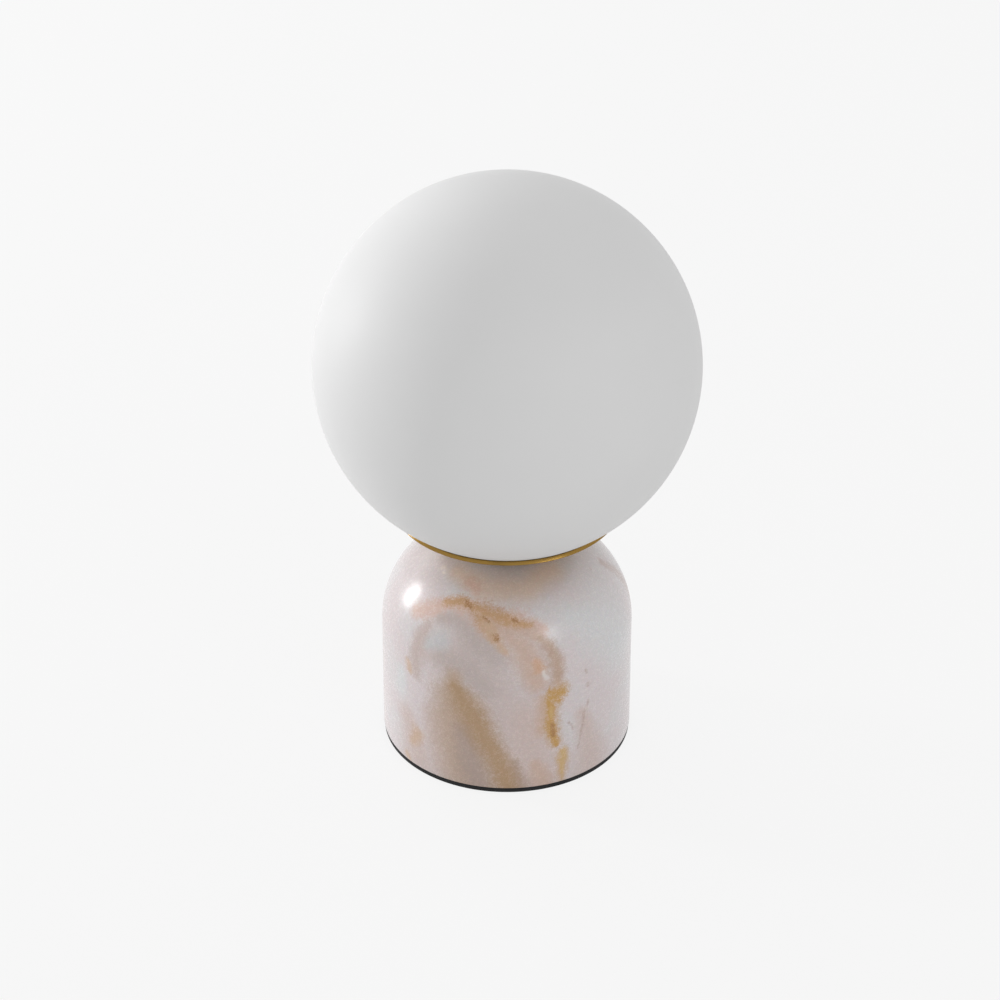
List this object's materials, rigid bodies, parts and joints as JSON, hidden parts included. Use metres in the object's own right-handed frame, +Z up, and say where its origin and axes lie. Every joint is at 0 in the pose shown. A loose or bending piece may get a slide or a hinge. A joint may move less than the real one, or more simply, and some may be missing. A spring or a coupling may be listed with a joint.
{
  "type": "glass globe table lamp",
  "caption": "Table lamp: an opal glass globe resting in a thin brass dish on a domed cylindrical marble base, with lampholder, plug-in bulb and terminal chamber inside.",
  "frame": {"origin": "centre of the foot pad's underside, on the plane the lamp stands on", "axes": "+Z up along the lamp's axis; +Y points to the back, where the cable enters; +X to the right seen from the front"},
  "size_m": [0.18, 0.18, 0.2907],
  "materials": {
    "black_pad": "matt black foot pad",
    "marble": "polished pinkish white marble with ochre veins",
    "black_plastic": "moulded, matt",
    "zinc_steel": "bright zinc plated",
    "white_plastic": "moulded, natural",
    "terminal_brass": "plain turned",
    "brown_insulation": "extruded insulation",
    "blue_insulation": "extruded insulation",
    "black_rubber": "soft washer",
    "brass": "satin brushed, spun",
    "ceramic": "white glazed steatite",
    "contact_spring": "nickel plated strip and wire",
    "opal_glass": "satin etched white opal",
    "silicone": "translucent white silicone",
    "bulb_plastic": "moulded white",
    "frosted_cover": "frosted diffuser",
    "led_board": "white solder mask"
  },
  "bodies": {
    "base": {"foot_pad": "black_pad", "marble_base": "marble", "cable_grommet": "black_plastic", "retaining_plate": "zinc_steel", "lower_lock_washer": "zinc_steel", "lower_nut": "zinc_steel", "threaded_tube": "zinc_steel", "clamp_block": "black_plastic", "clamp_saddle": "black_plastic", "clamp_screws": "zinc_steel", "terminal_block": "white_plastic", "terminal_barrels": "terminal_brass", "terminal_screws": "zinc_steel", "block_screw": "zinc_steel", "live_lead": "brown_insulation", "neutral_lead": "blue_insulation", "dish_gasket": "black_rubber", "brass_dish": "brass", "upper_lock_washer": "zinc_steel", "upper_nut": "zinc_steel", "stem_sleeve": "brass", "holder_cup": "brass", "holder_grub_screw": "zinc_steel", "holder_body": "ceramic", "holder_screws": "zinc_steel", "holder_contacts": "contact_spring"},
    "globe": {"glass_globe": "opal_glass", "globe_seal": "silicone"},
    "bulb": {"bulb_base": "bulb_plastic", "bulb_pins": "contact_spring", "bulb_envelope": "frosted_cover", "bulb_led_board": "led_board"}
  },
  "joints": [
    {"name": "globe_lift", "type": "slide", "parent": "base", "child": "globe", "axis": [0, 0, 1], "range_m": [0, 0.17]},
    {"name": "bulb_pull", "type": "slide", "parent": "base", "child": "bulb", "axis": [0, 0, 1], "range_m": [0, 0.06]}
  ]
}
